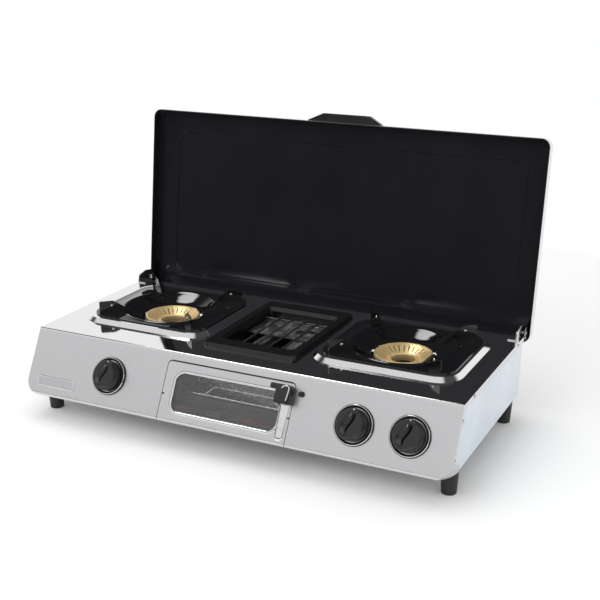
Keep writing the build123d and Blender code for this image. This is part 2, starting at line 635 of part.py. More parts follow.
def grill_gas_pipe():
    """The thin pipe from the grill's valve round the right burner to the grill burner."""
    z = GRILL_BURNER_Z
    x = KNOB_X[2]
    route = [(x, PIPE_Y + 23.0, INJECTOR_Z), (x, 120, INJECTOR_Z), (x, 264, z), (116, 264, z),
             (116, 206, z), (GRILL_TUBE_X + 8.05, 206, z)]
    return bent_pipe(route, 12, 3.0)


def cavity_liner():
    """The grill's enamelled trough: floor, sides and back, open at the front and the top."""
    half, back = LINER_HALF, 252.0
    outer = block(-half, half, -60, back, LINER_Z, TOP_Z - 1.6)
    inner = block(-half + 1, half - 1, -61, back - 1, LINER_Z + 1, TOP_Z)
    liner = (outer - inner) & body_prism(8.6, -half, half)
    for side in (-1, 1):
        x0, x1 = sorted((side * (half - 0.5), side * (half - 7)))
        liner += block(x0, x1, 16, back - 1.2, LINER_Z + 17, LINER_Z + 18.4)
    liner -= rod((60, 206, GRILL_BURNER_Z), (120, 206, GRILL_BURNER_Z), 3.4)
    return liner


def grill_rack():
    """The wire rack with a raised rail along its front."""
    z = RACK_Z
    x, y0, y1 = 88.0, 0.0, 234.0
    wires = [rod((-x, y, z), (x, y, z), 1.7) for y in (y0, y1)]
    wires += [rod((side * x, y0, z), (side * x, y1, z), 1.7) for side in (-1, 1)]
    wires += [Pos(side * x, y, z) * Sphere(1.7) for side in (-1, 1) for y in (y0, y1)]
    wires += [rod((n * 14.5, y0, z + 1.6), (n * 14.5, y1, z + 1.6), 1.2) for n in range(-5, 6)]
    rail_y, rail_z = y0 + 5.0, z + 14.0
    wires.append(rod((-34, rail_y, rail_z), (62, rail_y, rail_z), 1.5))
    for top_x, foot_x in ((-34, -50), (62, 78)):
        wires.append(rod((top_x, rail_y, rail_z), (foot_x, y0, z), 1.5))
        wires.append(Pos(top_x, rail_y, rail_z) * Sphere(1.5))
    return fuse(wires)


def drip_tray():
    """The shallow tray under the rack, with a rolled front edge and side rims for the rack."""
    half, y0, y1 = 92.0, -6.0, 240.0
    z0, z1 = LINER_Z + 1.4, LINER_Z + 14
    tray = block(-half, half, y0, y1, z0, z1)
    tray -= block(-half + 1, half - 1, y0 + 1, y1 - 1, z0 + 1, z1 + 1)
    return tray


def rack_posts():
    """Four short posts that carry the rack on the drip tray's sides."""
    posts = []
    for side in (-1, 1):
        for y in (24.0, 210.0):
            x = side * 88.0
            posts.append(block(x - 1.6, x + 1.6, y - 5, y + 5, LINER_Z + 2.45, RACK_Z - 1.75))
    return group(posts)


def build_grill():
    """Top frame, grate, reflector, burner, pipe, liner, rack and tray."""
    save("grill_top_frame", grill_frame())
    save("grill_top_grate", grill_grate())
    save("grill_reflector_plate", reflector_plate())
    save("grill_burner", grill_burner())
    save("grill_gas_pipe", grill_gas_pipe())
    save("grill_cavity_liner", cavity_liner())
    save("grill_rack", grill_rack())
    save("drip_tray", drip_tray())
    save("rack_posts", rack_posts())


# ---- lid ------------------------------------------------------------------------------------
LEAN = math.radians(LID_TILT)
LID_UP = Vector(0, math.sin(LEAN), math.cos(LEAN))
LID_FRONT = Vector(0, -math.cos(LEAN), math.sin(LEAN))


def lid_plane(x=0.0, along=0.0, front=0.0):
    """A plane on the open lid's outer face: along is measured up from the lid's lower edge."""
    pivot = Vector(0, *LID_PIVOT)
    place = pivot + LID_UP * (along - LID_BELOW) + LID_FRONT * (front - LID_BACK) + Vector(x, 0, 0)
    return Plane(origin=place, x_dir=(1, 0, 0), z_dir=LID_FRONT)


def lid_shell(inset, thick, rounding):
    """An open tray inset from the lid's outline."""
    width, length = LID_W - 2 * inset, LID_LEN - 2 * inset
    depth = LID_SKIRT - inset
    tray = extrude(lid_plane(0, LID_LEN / 2, inset) * RectangleRounded(width, length, LID_R - inset), amount=depth)
    back = tray.faces().sort_by(Axis((0, 0, 0), tuple(LID_FRONT)))[0]
    tray = fillet(back.edges(), rounding)
    hollow = extrude(lid_plane(0, LID_LEN / 2, inset + thick)
                     * RectangleRounded(width - 2 * thick, length - 2 * thick, LID_R - inset - thick), amount=depth)
    floor = hollow.faces().sort_by(Axis((0, 0, 0), tuple(LID_FRONT)))[0]
    return tray - fillet(floor.edges(), rounding - thick)


def lid_panel(front, grow):
    """The bevelled panel pressed outwards in the lid."""
    x = (PANEL_X0 + PANEL_X1) / 2
    along = (PANEL_LOW + PANEL_HIGH) / 2
    plane = lid_plane(x, along, front)
    outline = RectangleRounded(PANEL_X1 - PANEL_X0 + grow, PANEL_HIGH - PANEL_LOW + grow, 16)
    return extrude(plane * outline, amount=-PANEL_DEPTH, taper=45)


def lid_skin():
    """The stainless outer sheet of the lid."""
    skin = lid_shell(0.0, 0.8, 3.0)
    skin += lid_panel(0.0, 0)
    skin -= lid_panel(0.8, 0)
    return skin


def lid_liner():
    """The black enamelled sheet inside the lid."""
    liner = lid_shell(0.95, 0.8, 2.2)
    liner += lid_panel(0.95, 0)
    liner -= lid_panel(1.75, 0)
    return liner


def lid_ear(side):
    """A black ear from the lid's side wall forward to the hinge pin, with a domed end."""
    y, z = LID_PIVOT
    x = EAR_X if side > 0 else -EAR_X - EAR_T
    local = Plane(origin=(x, y, z), x_dir=tuple(LID_FRONT), z_dir=(1, 0, 0))
    half = EAR_R
    web = Polyline((-LID_BACK + 2.6, 11), (-14, 11), (0, half), (0, -half), (-10, -half - 3),
                   (-LID_BACK + 2.6, -22), close=True)
    ear = extrude(local * make_face(web), amount=EAR_T) + extrude(local * Circle(half), amount=EAR_T)
    return ear - rod((x - 1, y, z), (x + EAR_T + 1, y, z), 2.55)


def hinge_bracket(side):
    """A bright bracket on the rear corner of the top plate, with the hinge pin's eye."""
    y, z = LID_PIVOT
    x0, x1 = BRACKET_X, BRACKET_X + 2.0
    face = Polyline((BODY_D - 25, TOP_Z + 0.1), (BODY_D - 0.5, TOP_Z + 0.1), (y - 4, TOP_Z - 10), (y + 9, z - 6),
                    (y + 9, z + 3), (y, z + 13), (y - 18, z + 16), (BODY_D - 22, z + 12), close=True)
    upright = extrude(Plane.YZ.offset(x0) * make_face(face), amount=2.0)
    upright = fillet(upright.edges().filter_by(Axis.X), 2.0)
    sole = block(x0 - 12, x0 + 1, BODY_D - 24, BODY_D - 3, TOP_Z + 0.1, TOP_Z + 1.7)
    bracket = upright + sole - rod((x0 - 3, y, z), (x1 + 3, y, z), 2.52)
    return bracket if side > 0 else mirror(bracket, about=Plane.YZ)


def hinge_pin(side):
    """A headed pin through bracket and ear."""
    y, z = LID_PIVOT
    pin = rod((BRACKET_X - 0.9, y, z), (EAR_X + EAR_T + 0.4, y, z), 2.5)
    pin += turned([(0, 0), (4.4, 0), (4.0, 1.6), (2.4, 2.4), (0, 2.6)], (BRACKET_X - 0.1, y, z), (-1, 0, 0))
    return pin if side > 0 else mirror(pin, about=Plane.YZ)


def lid_handle():
    """The black handle over the lid's free edge, thinner towards its ends."""
    reach = 13.0
    outline = Polyline((-66, -16), (66, -16), (66, 0.5), (44, reach), (-38, reach), (-66, 0.5), close=True)
    handle = extrude(lid_plane(HANDLE_MID, LID_LEN, -9.0) * make_face(outline), amount=8.8)
    lip = Polyline((-60, 0.3), (60, 0.3), (42, reach), (-36, reach), close=True)
    handle += extrude(lid_plane(HANDLE_MID, LID_LEN, -0.3) * make_face(lip), amount=5.0)
    for x in (-48, 48):
        handle -= cylinder_along(lid_plane(HANDLE_MID + x, LID_LEN - 9, -10), 1.9, 12)
        handle -= cylinder_along(lid_plane(HANDLE_MID + x, LID_LEN - 9, -10), 3.7, 4.0)
    return handle


def cylinder_along(plane, radius, length):
    """A round bar out of a plane."""
    return extrude(plane * Circle(radius), amount=length)


def handle_screws():
    """The two screws that hold the handle on the lid."""
    screws = []
    for x in (-48, 48):
        plane = lid_plane(HANDLE_MID + x, LID_LEN - 9, -8.0)
        screws.append(cylinder_along(plane, 3.5, 1.95) + cylinder_along(plane, 1.7, 7.8))
    return group(screws)


def build_lid():
    """The lid with its liner, handle, ears, brackets and pins."""
    save("lid_outer_skin", lid_skin())
    save("lid_inner_liner", lid_liner())
    save("lid_handle", lid_handle())
    save("lid_handle_screws", handle_screws())
    save("lid_ears", group(lid_ear(side) for side in (-1, 1)))
    save("hinge_brackets", group(hinge_bracket(side) for side in (-1, 1)))
    save("hinge_pins", group(hinge_pin(side) for side in (-1, 1)))
    badge = extrude(fascia_plane(-296.5, 82.0, 0.05) * RectangleRounded(67, 14.5, 1.5), amount=0.8)
    save("blank_badge_plate", badge)


build_casing()
build_door()
build_controls()
build_burners()
build_grill()
build_lid()
for node, shape in parts.items():
    export_step(shape, f"parts/{node}.step")
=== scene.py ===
"""Looks of a table-top gas stove: materials, knobs, light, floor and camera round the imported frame."""
import json
import math

import bmesh
import bpy
from mathutils import Matrix, Vector


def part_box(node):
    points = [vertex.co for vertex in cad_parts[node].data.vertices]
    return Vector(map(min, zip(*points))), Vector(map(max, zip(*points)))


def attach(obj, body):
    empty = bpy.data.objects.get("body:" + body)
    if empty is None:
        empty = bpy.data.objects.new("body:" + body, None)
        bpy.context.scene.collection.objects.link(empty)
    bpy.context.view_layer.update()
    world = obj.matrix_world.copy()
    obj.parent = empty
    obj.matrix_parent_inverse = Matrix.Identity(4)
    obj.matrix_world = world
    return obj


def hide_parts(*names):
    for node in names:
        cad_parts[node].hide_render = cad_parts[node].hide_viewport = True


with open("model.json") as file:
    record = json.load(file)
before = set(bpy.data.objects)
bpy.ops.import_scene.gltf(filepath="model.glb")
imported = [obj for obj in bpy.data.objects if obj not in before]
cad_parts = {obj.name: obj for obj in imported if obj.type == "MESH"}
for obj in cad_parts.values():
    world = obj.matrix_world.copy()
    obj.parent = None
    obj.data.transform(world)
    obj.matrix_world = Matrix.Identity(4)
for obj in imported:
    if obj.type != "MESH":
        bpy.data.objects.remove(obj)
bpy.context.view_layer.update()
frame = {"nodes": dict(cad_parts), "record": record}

NODES = frame["nodes"]


# ---- node helpers ---------------------------------------------------------------------------
RELIEF, FINE_RELIEF = 0.0002, 0.0001      # bump depths in metres


class Nodes:
    """Short ways to add nodes to a tree."""

    def __init__(self, tree):
        self.tree = tree

    def node(self, kind, **settings):
        """A new node; each setting is one of its inputs or of its properties."""
        made = self.tree.nodes.new(kind)
        for key, value in settings.items():
            if key in made.inputs:
                made.inputs[key].default_value = value
            else:
                setattr(made, key, value)
        return made

    def link(self, source, target):
        self.tree.links.new(source, target)

    def remap(self, value, low, high, into_low, into_high, smooth=False):
        made = self.node("ShaderNodeMapRange", interpolation_type="SMOOTHSTEP" if smooth else "LINEAR")
        limits = {"From Min": low, "From Max": high, "To Min": into_low, "To Max": into_high}
        for key, number in limits.items():
            made.inputs[key].default_value = number
        self.link(value, made.inputs["Value"])
        return made.outputs["Result"]

    def math(self, operation, first, second):
        made = self.node("ShaderNodeMath", operation=operation)
        for slot, value in enumerate((first, second)):
            if isinstance(value, (int, float)):
                made.inputs[slot].default_value = value
            else:
                self.link(value, made.inputs[slot])
        return made.outputs["Value"]


class Look(Nodes):
    """A Principled material and short ways to shape its colour, gloss and relief."""

    def __init__(self, name, color, roughness, metallic=0.0, **sockets):
        self.material = bpy.data.materials.new(name)
        self.material.use_nodes = True
        super().__init__(self.material.node_tree)
        self.shader = next(n for n in self.tree.nodes if n.type == "BSDF_PRINCIPLED")
        self.set("Base Color", (*color, 1.0))
        self.set("Roughness", roughness)
        self.set("Metallic", metallic)
        for socket, value in sockets.items():
            self.set(socket.replace("_", " "), value)
        self.color, self.roughness = color, roughness

    def set(self, socket, value):
        self.shader.inputs[socket].default_value = value

    def place(self, scale=(1, 1, 1)):
        """The piece's own coordinates, scaled."""
        source = self.node("ShaderNodeTexCoord")
        mapping = self.node("ShaderNodeMapping")
        mapping.inputs["Scale"].default_value = scale
        self.link(source.outputs["Object"], mapping.inputs["Vector"])
        return mapping.outputs["Vector"]

    def noise(self, scale, detail=3.0, stretch=(1, 1, 1)):
        made = self.node("ShaderNodeTexNoise", Scale=scale, Detail=detail)
        self.link(self.place(stretch), made.inputs["Vector"])
        return made.outputs["Fac"]

    def mix(self, factor, first, second):
        """A colour between two colours."""
        made = self.node("ShaderNodeMix", data_type="RGBA")
        self.link(factor, made.inputs["Factor"])
        sockets = [socket for socket in made.inputs if socket.type == "RGBA"]
        for socket, value in zip(sockets, (first, second)):
            if isinstance(value, tuple):
                socket.default_value = (*value, 1.0)
            else:
                self.link(value, socket)
        return next(socket for socket in made.outputs if socket.type == "RGBA")

    def blend_number(self, factor, first, second):
        """A number between two numbers or sockets."""
        made = self.node("ShaderNodeMix", data_type="FLOAT")
        self.link(factor, made.inputs["Factor"])
        sockets = [socket for socket in made.inputs if socket.type == "VALUE" and socket.name in "AB"]
        for socket, value in zip(sockets, (first, second)):
            if isinstance(value, (int, float)):
                socket.default_value = value
            else:
                self.link(value, socket)
        return next(socket for socket in made.outputs if socket.type == "VALUE")

    def drive_color(self, value):
        self.link(value, self.shader.inputs["Base Color"])

    def drive_roughness(self, value):
        self.link(value, self.shader.inputs["Roughness"])

    def bump(self, height, strength, distance=RELIEF):
        made = self.node("ShaderNodeBump", Strength=strength, Distance=distance)
        self.link(height, made.inputs["Height"])
        if self.shader.inputs["Normal"].is_linked:
            self.link(self.shader.inputs["Normal"].links[0].from_socket, made.inputs["Normal"])
        self.link(made.outputs["Normal"], self.shader.inputs["Normal"])


def shade(color, factor):
    """The colour made darker or lighter."""
    return tuple(min(1.0, channel * factor) for channel in color)


def mottled(look, scale=9.0, spread=0.12, rough_spread=0.05):
    """Slow changes of tone and gloss over a surface."""
    cloud = look.noise(scale, 4.0)
    look.drive_color(look.mix(look.remap(cloud, 0.3, 0.7, 0.0, 1.0),
                              shade(look.color, 1 - spread), shade(look.color, 1 + spread)))
    gloss = look.remap(cloud, 0.3, 0.7, look.roughness - rough_spread, look.roughness + rough_spread)
    look.drive_roughness(gloss)
    return cloud


# ---- materials ------------------------------------------------------------------------------
MM = 0.001
STEEL = (0.70, 0.70, 0.715)
BRASS = (0.88, 0.66, 0.33)
BLACK = (0.012, 0.012, 0.013)
FINE_GRAIN = (4, 260, 260)      # noise scales: long along X, narrow across
PLATE_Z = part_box("grill_top_frame")[1].z - 6.1 * MM      # the top plate, under the grill's frame


def brushed_steel(name, color=STEEL, roughness=0.30, grain=FINE_GRAIN, bump=0.05):
    """Stainless sheet with fine grain along X."""
    look = Look(name, color, roughness, 1.0)
    grain_noise = look.noise(9.0, 5.0, grain)
    cloud = look.noise(6.0, 2.0)
    tone = look.mix(look.remap(grain_noise, 0.3, 0.7, 0.0, 1.0), shade(color, 0.94), shade(color, 1.05))
    look.drive_color(tone)
    uneven = look.remap(grain_noise, 0.3, 0.7, roughness - 0.04, roughness + 0.05)
    look.drive_roughness(look.math("ADD", uneven, look.remap(cloud, 0.3, 0.7, -0.02, 0.02)))
    look.bump(grain_noise, bump)
    return look


def casing_steel():
    """Mirror-polished on the top plate and finely brushed on the sloping front."""
    look = Look("steel_casing", STEEL, 0.3, 1.0)
    place = look.node("ShaderNodeTexCoord").outputs["Object"]
    split = look.node("ShaderNodeSeparateXYZ")
    look.link(place, split.inputs["Vector"])
    top = look.remap(split.outputs["Z"], PLATE_Z - 3.5 * MM, PLATE_Z - MM, 0.0, 1.0, smooth=True)
    grain = look.noise(9.0, 5.0, FINE_GRAIN)
    brushed = look.remap(grain, 0.3, 0.7, 0.29, 0.38)
    smear = look.remap(look.noise(14.0, 4.0), 0.35, 0.7, 0.045, 0.085)
    look.drive_roughness(look.blend_number(top, brushed, smear))
    grey = look.mix(look.remap(grain, 0.3, 0.7, 0.0, 1.0), shade(STEEL, 0.95), shade(STEEL, 1.04))
    look.drive_color(look.mix(top, grey, (0.80, 0.80, 0.81)))
    fine = look.math("MULTIPLY", grain, look.remap(top, 0.0, 1.0, 1.0, 0.05))
    look.bump(fine, 0.05)
    return look


def painted(name, color, roughness, scale, bump, **sockets):
    """Gloss paint or enamel with a faint orange-peel surface and some dust-soft patches."""
    look = Look(name, color, roughness, **sockets)
    mottled(look, 11.0, 0.06, roughness * 0.3)
    look.bump(look.noise(scale, 2.0), bump, FINE_RELIEF)
    return look


def turned_brass(name, centre):
    """Lathe-turned brass: fine rings round a vertical axis through centre."""
    look = Look(name, BRASS, 0.34, metallic=0.6)
    place = look.node("ShaderNodeTexCoord").outputs["Object"]
    offset = look.node("ShaderNodeVectorMath", operation="SUBTRACT")
    offset.inputs[1].default_value = centre
    look.link(place, offset.inputs[0])
    flat = look.node("ShaderNodeVectorMath", operation="MULTIPLY")
    flat.inputs[1].default_value = (1, 1, 0)
    look.link(offset.outputs["Vector"], flat.inputs[0])
    radius = look.node("ShaderNodeVectorMath", operation="LENGTH")
    look.link(flat.outputs["Vector"], radius.inputs[0])
    line = look.node("ShaderNodeTexNoise", noise_dimensions="1D", Scale=1400.0, Detail=2.0)
    look.link(radius.outputs["Value"], line.inputs["W"])
    cloud = look.noise(30.0, 3.0)
    look.drive_color(look.mix(look.remap(cloud, 0.3, 0.7, 0.0, 1.0), shade(BRASS, 0.85), shade(BRASS, 1.08)))
    ring = line.outputs["Fac"]
    look.drive_roughness(look.remap(ring, 0.3, 0.7, look.roughness - 0.06, look.roughness + 0.08))
    look.bump(ring, 0.12, FINE_RELIEF)
    return look


def speckled_plastic(name, color, roughness):
    """Moulded heat-proof plastic with a very fine texture."""
    look = Look(name, color, roughness)
    mottled(look, 40.0, 0.15, 0.06)
    look.bump(look.noise(2600.0, 2.0), 0.12, FINE_RELIEF)
    return look


def glass():
    """Clear heat-proof glass, faintly grey."""
    look = Look("glass_door", (0.80, 0.80, 0.81), 0.02, Transmission_Weight=0.96, IOR=1.45)
    smear = look.noise(30.0, 3.0)
    look.drive_roughness(look.remap(smear, 0.4, 0.8, 0.015, 0.05))
    return look


def centre_of(node):
    low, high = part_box(node)
    return (low + high) / 2


def build_materials():
    """The look of each slot in the record."""
    made = {
        "casing_stainless": casing_steel(),
        "side_paint": painted("paint_side", (0.66, 0.74, 0.82), 0.22, 500.0, 0.05, Coat_Weight=0.3),
        "galvanised_sheet": brushed_steel("steel_galvanised", (0.52, 0.53, 0.54), 0.42, (40, 40, 40), 0.03),
        "door_stainless": brushed_steel("steel_door"),
        "lid_stainless": brushed_steel("steel_lid", (0.74, 0.74, 0.75), 0.16, (3, 180, 180), 0.02),
        "door_glass": glass(),
        "badge_plate": brushed_steel("badge_satin", (0.62, 0.62, 0.64), 0.30, (6, 400, 400), 0.06),
        "cast_aluminium": painted("aluminium_cast", (0.50, 0.50, 0.51), 0.5, 700.0, 0.35, Metallic=1.0),
        "cast_iron": painted("iron_cast", (0.06, 0.06, 0.06), 0.6, 600.0, 0.5, Metallic=0.6),
        "black_enamel": painted("enamel_black", (0.006, 0.006, 0.007), 0.06, 300.0, 0.04),
        "lid_enamel": painted("enamel_lid", (0.011, 0.010, 0.013), 0.14, 260.0, 0.03, Specular_IOR_Level=0.3),
        "grate_enamel": painted("enamel_grate", (0.03, 0.03, 0.032), 0.2, 700.0, 0.15),
        "cavity_enamel": painted("enamel_cavity", (0.06, 0.062, 0.068), 0.3, 700.0, 0.1),
    }
    for side in ("left", "right"):
        made[f"burner_brass_{side}"] = turned_brass(f"brass_{side}", centre_of(f"burner_head_{side}"))
    rubber = Look("rubber_black", BLACK, 0.55)
    mottled(rubber, 60.0, 0.3, 0.08)
    rubber.bump(rubber.noise(1500.0, 2.0), 0.2, FINE_RELIEF)
    made["black_rubber"] = rubber
    made["black_plastic"] = speckled_plastic("plastic_black", BLACK, 0.3)
    metals = {
        "plated_screw": ("zinc_plate", (0.70, 0.70, 0.70), 0.22),
        "chrome_trim": ("chrome_trim", (0.82, 0.82, 0.83), 0.07),
        "bright_rivet": ("chrome_rivet", (0.82, 0.82, 0.82), 0.12),
        "bright_bracket": ("steel_bracket", (0.74, 0.74, 0.75), 0.16),
        # the rack's chrome is darkened to 0.46 against 0.82 for the trim: painted shade of the dim grill cavity
        "rack_wire": ("chrome_rack", (0.46, 0.46, 0.47), 0.25),
        "plated_tube": ("zinc_tube", (0.60, 0.61, 0.62), 0.3),
        "brass_fittings": ("brass_fitting", (0.70, 0.50, 0.22), 0.3),
    }
    for slot, (name, color, roughness) in metals.items():
        look = Look(name, color, roughness, 1.0)
        mottled(look, 80.0, 0.07, roughness * 0.25)
        made[slot] = look
    sheet = Look("sheet_aluminised", (0.40, 0.40, 0.41), 0.45, 1.0)
    cloud = mottled(sheet, 120.0, 0.45, 0.12)
    sheet.bump(cloud, 0.4)
    made["aluminised_sheet"] = sheet
    ceramic = Look("ceramic_white", (0.80, 0.79, 0.75), 0.35)
    mottled(ceramic, 200.0, 0.05, 0.05)
    made["ceramic"] = ceramic
    return made


LOOKS = build_materials()
SHARP_EDGE, PIECE_SHARP_EDGE = math.radians(32), math.radians(35)      # CAD nodes, and the pieces made here
WELD_GAP = 2e-6


def soften(piece):
    """Smooth shading between a node's real edges; its vertices stay as they are."""
    mesh = piece.data
    stored = mesh.attributes.get("custom_normal")
    if stored:
        mesh.attributes.remove(stored)
    mesh.shade_smooth()
    weld = piece.modifiers.new("weld", "WELD")
    weld.merge_threshold = WELD_GAP
    split = piece.modifiers.new("split", "EDGE_SPLIT")
    split.split_angle = SHARP_EDGE
    split.use_edge_sharp = False


def dress_nodes():
    """Gives each CAD node its slot's material and smooth shading between its real edges."""
    for part in frame["record"]["subparts"]:
        name, slot = part["node"], part["material_slot"]
        piece = NODES[name]
        key = f"{slot}_{name.rsplit('_', 1)[1]}" if slot == "burner_brass" else slot
        material = LOOKS[key].material
        if not piece.material_slots:
            piece.data.materials.append(material)
        for place in piece.material_slots:
            place.material = material
        soften(piece)


dress_nodes()


# ---- the sloping front ----------------------------------------------------------------------
FRONT_RUN, FRONT_DROP = 51.6, 95.0      # how far the front goes forward and down, in millimetres
SLOPE = math.atan2(FRONT_RUN, FRONT_DROP)
DOWN = Vector((0, -math.sin(SLOPE), -math.cos(SLOPE)))
OUT = Vector((0, -math.cos(SLOPE), math.sin(SLOPE)))
FOLD_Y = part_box("grill_top_frame")[0].y - 41.0 * MM      # the fold between top plate and front

# Places on the front are (x, s) in millimetres: x to the right, s down the slope from the fold.
KNOBS = {"left_burner": -203.0, "right_burner": 203.0, "grill": 285.0}
KNOB_S = 55.0
BADGE, BADGE_HALF, BADGE_R = (-296.5, 82.0), (33.5, 7.25), 1.6
WINDOW, WINDOW_HALF, WINDOW_R = (0.0, 58.25), (87.0, 29.25), 14.0
DOOR_HALF_W, DOOR_TOP, DOOR_END, DOOR_R = 109.4, 9.5, 99.0, 9.0
HANDLE_X, HANDLE_TOP, HANDLE_END = 95.0, 24.0, 98.0
PATCH_LOW, PATCH_HIGH = 59.05, 59.3      # heights above the ground: the tray passes 0.1 mm over the patches


def front_matrix(x, s):
    """Local axes on the front: x to the right, y up the slope, z out of it, in millimetres."""
    place = Vector((x * MM, FOLD_Y, PLATE_Z)) + DOWN * s * MM
    axes = Matrix(((1, 0, 0), tuple(-DOWN), tuple(OUT))).transposed().to_4x4()
    return Matrix.Translation(place) @ axes @ Matrix.Scale(MM, 4)


def add_piece(name, shape, matrix, look, body):
    """A piece that rides on a body, from a bmesh in local millimetres; matrix takes it to metres."""
    shape.normal_update()
    mesh = bpy.data.meshes.new(name)
    shape.to_mesh(mesh)
    shape.free()
    mesh.transform(matrix)
    mesh.materials.append(look.material)
    mesh.shade_smooth()
    mesh.set_sharp_from_angle(angle=PIECE_SHARP_EDGE)
    piece = bpy.data.objects.new(name, mesh)
    bpy.context.scene.collection.objects.link(piece)
    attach(piece, body)
    return piece


def loft(rings, closed=True):
    """A skin over rings of points, each ring as long as the next; closed gives it both end faces."""
    shape = bmesh.new()
    rows = [[shape.verts.new(point) for point in ring] for ring in rings]
    count = len(rows[0])
    for low, high in zip(rows, rows[1:]):
        for n in range(count):
            after = (n + 1) % count
            shape.faces.new((low[n], low[after], high[after], high[n]))
    if closed:
        shape.faces.new(list(reversed(rows[0])))
        shape.faces.new(rows[-1])
    bmesh.ops.recalc_face_normals(shape, faces=shape.faces)
    return shape


def smoothstep(value, low, high):
    t = max(0.0, min(1.0, (value - low) / (high - low)))
    return t * t * (3 - 2 * t)


# A knob: a disc with a domed left half and a raised flat right half, which meet at a slanting S step.
KNOB_R, KNOB_FOOT, KNOB_WAIST, KNOB_RIM = 23.0, 3.4, 7.0, 12.4
KNOB_PLATE, KNOB_DOME = 5.6, 7.0      # how far the two halves rise above the rim
LEAN = math.radians(17)
SPOKES, KNOB_RINGS = 120, 46


def knob_height(x, y):
    """Height of the knob's face above the front sheet."""
    across = x * math.cos(LEAN) - y * math.sin(LEAN)
    along = x * math.sin(LEAN) + y * math.cos(LEAN)
    radius = math.hypot(x, y)
    curve = 1.3 * math.sin(math.pi * along / 16.0)
    side = across - curve
    inside = 1.0 - smoothstep(radius, 18.4, 20.4)
    plate = KNOB_PLATE * smoothstep(side, 0.5, 1.9)
    dome = KNOB_DOME * math.exp(-(((side + 4.8) / 6.0) ** 2)) * math.exp(-((along / 13.5) ** 4))
    ridge = dome * (1.0 - smoothstep(side, -1.6, 0.4))
    rim = -2.0 * smoothstep(radius, 21.4, KNOB_R)
    return KNOB_RIM + inside * (plate + ridge) + rim


def knob_shape():
    """The knob's skin, on a polar grid."""
    shape = bmesh.new()
    middle = shape.verts.new((0, 0, knob_height(0, 0)))

    def ring(radius, height=None):
        """A circle of points, at one height or on the knob's face."""
        points = []
        for spoke in range(SPOKES):
            angle = 2 * math.pi * spoke / SPOKES
            x, y = radius * math.cos(angle), radius * math.sin(angle)
            points.append(shape.verts.new((x, y, knob_height(x, y) if height is None else height)))
        return points

    rings = [ring(KNOB_R * step / KNOB_RINGS) for step in range(1, KNOB_RINGS + 1)]
    rings += [ring(KNOB_R, KNOB_WAIST), ring(KNOB_R, KNOB_FOOT + 0.6), ring(KNOB_R - 0.5, KNOB_FOOT)]
    for spoke in range(SPOKES):
        after = (spoke + 1) % SPOKES
        shape.faces.new((middle, rings[0][spoke], rings[0][after]))
        for inner, outer in zip(rings, rings[1:]):
            shape.faces.new((inner[spoke], outer[spoke], outer[after], inner[after]))
    shape.faces.new(list(reversed(rings[-1])))
    return shape


def rounded_outline(half_w, half_h, radius, steps=10, centre=(0.0, 0.0)):
    """Points round a rounded rectangle."""
    points = []
    for quarter, (sx, sy) in enumerate(((1, 1), (-1, 1), (-1, -1), (1, -1))):
        for step in range(steps + 1):
            angle = math.pi / 2 * (quarter + step / steps)
            points.append((centre[0] + sx * (half_w - radius) + radius * math.cos(angle),
                           centre[1] + sy * (half_h - radius) + radius * math.sin(angle)))
    return points


def profile_ring(half_w, half_h, radius, profile):
    """A moulding round a rounded rectangle; profile is (inset, height) pairs."""
    rings = []
    for inset, height in profile:
        outline = rounded_outline(half_w - inset, half_h - inset, max(radius - inset, 0.5))
        rings.append([(x, y, height) for x, y in outline])
    rings.append(rings[0])
    return loft(rings, closed=False)


def rounded_block(x0, x1, y0, y1, z0, z1, radius=2.0, edge=1.0):
    """A block with rounded corners and a soft upper edge."""
    half_w, half_h = (x1 - x0) / 2, (y1 - y0) / 2
    centre = ((x0 + x1) / 2, (y0 + y1) / 2)
    rings = []
    for inset, height in ((0.0, z0), (0.0, z1 - edge), (edge * 0.3, z1 - edge * 0.3), (edge, z1)):
        outline = rounded_outline(half_w - inset, half_h - inset, max(radius - inset, 0.3), 6, centre)
        rings.append([(x, y, height) for x, y in outline])
    return loft(rings)


def build_knobs():
    """Knobs with a pointer mark at the top of each."""
    mark = Look("mark_white", (0.75, 0.75, 0.74), 0.4)
    mottled(mark, 300.0, 0.05, 0.05)
    for name, x in KNOBS.items():
        place = front_matrix(x, KNOB_S)
        knob = add_piece(f"control_knob_{name}", knob_shape(), place, LOOKS["black_plastic"],
                         f"knob_{name}")
        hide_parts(f"knob_{name}")
        pointer = rounded_block(-0.9, 0.9, 20.0, 21.8, 11.0, 12.5, 0.6, 0.3)
        add_piece(f"pointer_mark_{name}", pointer, place, mark, f"knob_{name}")


